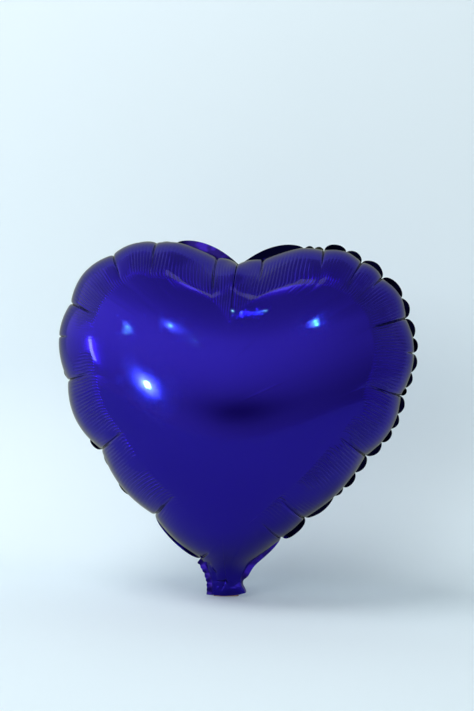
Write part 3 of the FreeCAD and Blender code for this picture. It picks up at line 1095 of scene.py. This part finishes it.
# %% Wall and floor
WALL_PLACE = 0.3
WALL_HALF = 1.1
WALL_TOP = 1.6
FLOOR_END = -0.45
COVE = 0.22
COVE_STEPS = 12
bend = [math.pi / 2 * step / COVE_STEPS for step in range(COVE_STEPS + 1)]
sweep = [(WALL_PLACE - COVE + COVE * math.sin(angle), COVE - COVE * math.cos(angle)) for angle in bend]
profile = [(FLOOR_END, 0.0)] + sweep + [(WALL_PLACE, WALL_TOP)]
wall_mesh = bpy.data.meshes.new("pale_wall")
corners = [(x, y, z) for x in (-WALL_HALF, WALL_HALF) for y, z in profile]
count = len(profile)
wall_mesh.from_pydata(corners, [], [(k, count + k, count + k + 1, k + 1) for k in range(count - 1)])
wall = bpy.data.objects.new("pale_wall", wall_mesh)
bpy.context.scene.collection.objects.link(wall)
wall_mesh.materials.append(wall_material)
for polygon in wall_mesh.polygons:
    polygon.use_smooth = True
print("wall", WALL_PLACE, "m behind, floor to", FLOOR_END, "m in front")

# %% [markdown]
# ## Lamps and room
#
# Two wide soft lamps light the wall and throw a faint shadow to the right. The foil doesn't mirror
# those. What it mirrors is the room: bright from the left, darker to the right, dim overhead, and
# darkest straight in front, where whoever looks at it stands. The room is drawn in the world's
# strength by direction. Small lamps that show only in what is shiny make the sharp highlights.

# %% Wide lamps
DAYLIGHT = (0.93, 0.98, 1)


def panel(name, place, target, size, power, colour=(1, 1, 1), mirrored=True):
    """A soft lamp, square or (wide, tall); a mirrored one shows only as a highlight."""
    lamp = bpy.data.lights.new(name, "AREA")
    lamp.energy = power
    lamp.color = colour
    if isinstance(size, tuple):
        lamp.shape = "RECTANGLE"
        lamp.size, lamp.size_y = size
    else:
        lamp.size = size
    item = bpy.data.objects.new(name, lamp)
    bpy.context.scene.collection.objects.link(item)
    item.location = place
    item.visible_camera = False
    item.visible_glossy = mirrored
    item.visible_diffuse = not mirrored
    look(item, target)
    return item


wide_lamps = [panel("overhead", (-0.8, -0.7, 2.2), (0, 0.1, 0.2), 1.1, 24, DAYLIGHT, mirrored=False),
              panel("fill", (-1.0, -1.9, 1.0), (0, 0.3, 0.3), 1.2, 15, DAYLIGHT, mirrored=False)]
print("wide lamps", [item.name for item in wide_lamps])

# %% Highlights
# Violet foil hardly gives green light back, so the small round lamps are mostly green: what comes
# back from the foil and its clear top together is then near white.
LAMP_DISTANCE = 2.0


def highlight(name, point, turn, lift, size, power, colour=(0.15, 1.0, 0.2), beam=4):
    """A small lamp in a given direction from a point of the film, in degrees from the front.

    Its beam, also in degrees, is narrow, so it lights the film near that point and doesn't glare from
    other sides; a long lamp needs a wider beam, or it loses its ends. The power is what a lamp
    without such a beam would need to look as bright.
    """
    half_beam = math.radians(beam) / 2
    gain = math.tan(half_beam) / (math.tan(half_beam) - half_beam)
    turn, lift = math.radians(turn), math.radians(lift)
    way = Vector((math.sin(turn) * math.cos(lift), -math.cos(turn) * math.cos(lift), math.sin(lift)))
    item = panel(name, Vector(point) + LAMP_DISTANCE * way, point, size, power / gain, colour)
    item.data.spread = 2 * half_beam


highlight("flash", (-0.075, -0.086, 0.214), -42, -6, 0.095, 75)
highlight("spot_a", (-0.099, -0.074, 0.268), -49, 21, 0.02, 1.8)
highlight("spot_b", (-0.055, -0.083, 0.270), -27, 33, 0.025, 2.2)
highlight("spot_c", (0.010, -0.080, 0.287), 0, 57, 0.025, 2.0, (0.3, 0.9, 0.8), beam=1.0)
highlight("spot_d", (0.080, -0.076, 0.279), 27, 36, 0.025, 3.0)
highlight("streak", (-0.136, -0.060, 0.247), -72.7, 1.5, (0.08, 0.5), 2.6, (0.6, 0.8, 0.85), beam=40)
highlight("glints", (0.006, -0.070, 0.302), -10, 77, (0.9, 0.16), 1.2, (0.9, 0.9, 1), beam=40)

# %% Levels of the room
# How high a direction points, from -1 to 1, or how far to the right: how bright the room is there.
ROOM_LEVELS = [(-1.0, 0.40), (-0.34, 0.50), (-0.17, 0.48), (0.0, 0.60), (0.17, 0.74), (0.34, 0.82),
               (0.5, 0.80), (0.64, 0.58), (0.77, 0.47), (0.87, 0.42), (0.99, 0.33)]
ROOM_SIDES = [(-1.0, 1.35), (-0.4, 1.12), (0.0, 1.0), (0.45, 0.78), (1.0, 0.45)]
RAMP_TOP = 1.5  # the ramp holds levels divided by this, so that they lie between 0 and 1
ROOM_TINT = (0.92, 0.97, 1.0, 1)


def ramp_of(tree, value, stops):
    """A smooth curve through (value, level) stops for a value between -1 and 1."""
    shift = calculate(tree, "MULTIPLY_ADD", value, 0.5, 0.5)
    node = tree.nodes.new("ShaderNodeValToRGB")
    tree.links.new(shift, node.inputs["Fac"])
    elements = node.color_ramp.elements
    while len(elements) < len(stops):
        elements.new(0.5)
    for element, (at, level) in zip(elements, stops):
        element.position = (at + 1) / 2
        element.color = (level / RAMP_TOP,) * 3 + (1,)
    return calculate(tree, "MULTIPLY", node.outputs["Color"], RAMP_TOP)


world = bpy.data.worlds.new("room")
bpy.context.scene.world = world
world.use_nodes = True
tree = world.node_tree
split = tree.nodes.new("ShaderNodeSeparateXYZ")
tree.links.new(tree.nodes.new("ShaderNodeTexCoord").outputs["Generated"], split.inputs["Vector"])
level = calculate(tree, "MULTIPLY", ramp_of(tree, split.outputs["Z"], ROOM_LEVELS),
                  ramp_of(tree, split.outputs["X"], ROOM_SIDES))
print("levels by height", len(ROOM_LEVELS), "and by side", len(ROOM_SIDES))

# %% The dark place straight in front
DARK_FRONT = {"x": 0.05, "z": -0.2, "wide": 0.36, "tall": 0.12, "share": 0.75}
across = calculate(tree, "SUBTRACT", split.outputs["X"], DARK_FRONT["x"])
across = calculate(tree, "POWER", calculate(tree, "DIVIDE", across, DARK_FRONT["wide"]), 2.0)
upward = calculate(tree, "SUBTRACT", split.outputs["Z"], DARK_FRONT["z"])
upward = calculate(tree, "POWER", calculate(tree, "DIVIDE", upward, DARK_FRONT["tall"]), 2.0)
away = calculate(tree, "MULTIPLY", calculate(tree, "ADD", across, upward), -1.0)
in_front = step_up(tree, calculate(tree, "MULTIPLY", split.outputs["Y"], -1.0), 0.0, 0.5)
dark = calculate(tree, "MULTIPLY", calculate(tree, "POWER", math.e, away), in_front)
kept = calculate(tree, "MULTIPLY_ADD", dark, -DARK_FRONT["share"], 1.0)
tree.nodes["Background"].inputs["Color"].default_value = ROOM_TINT
tree.links.new(calculate(tree, "MULTIPLY", level, kept), tree.nodes["Background"].inputs["Strength"])
bpy.context.scene.view_settings.view_transform = "Standard"
print("room nodes", len(tree.nodes))

# %% [markdown]
# ## Flat sizes
#
# Each piece is a flat sheet before it is blown up. Hearts of this kind are commonly cut 457 mm
# across. The share of that width that is left once the gas has drawn the film in is worked back here
# from the imported part's width, so it is an estimate, and so is the area that follows from it. The
# plies hardly change.

# %% Flat sheets
FLAT_WIDTH = 457 * MM
OUTLINE_STEPS = 400
blown_share = (CAD_BOX[1][0] - CAD_BOX[0][0]) / FLAT_WIDTH


def outline_area():
    """The area inside the outer edge of the margin, in the seam's plane."""
    edge = [seam_point(WELD_LENGTH * step / OUTLINE_STEPS, 0) for step in range(OUTLINE_STEPS + 1)]
    return abs(sum(x0 * z1 - x1 * z0 for (x0, z0), (x1, z1) in zip(edge, edge[1:])))


flat_area = outline_area() / blown_share**2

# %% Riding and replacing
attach(front, "root")
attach(rear, "root")
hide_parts("front_film")
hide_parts("rear_film")
for ply, face in ((front_ply, "front"), (rear_ply, "rear")):
    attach(ply, "root")
    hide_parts(face + "_valve_ply")
print("pieces", [item.name for item in (front, rear, front_ply, rear_ply)])
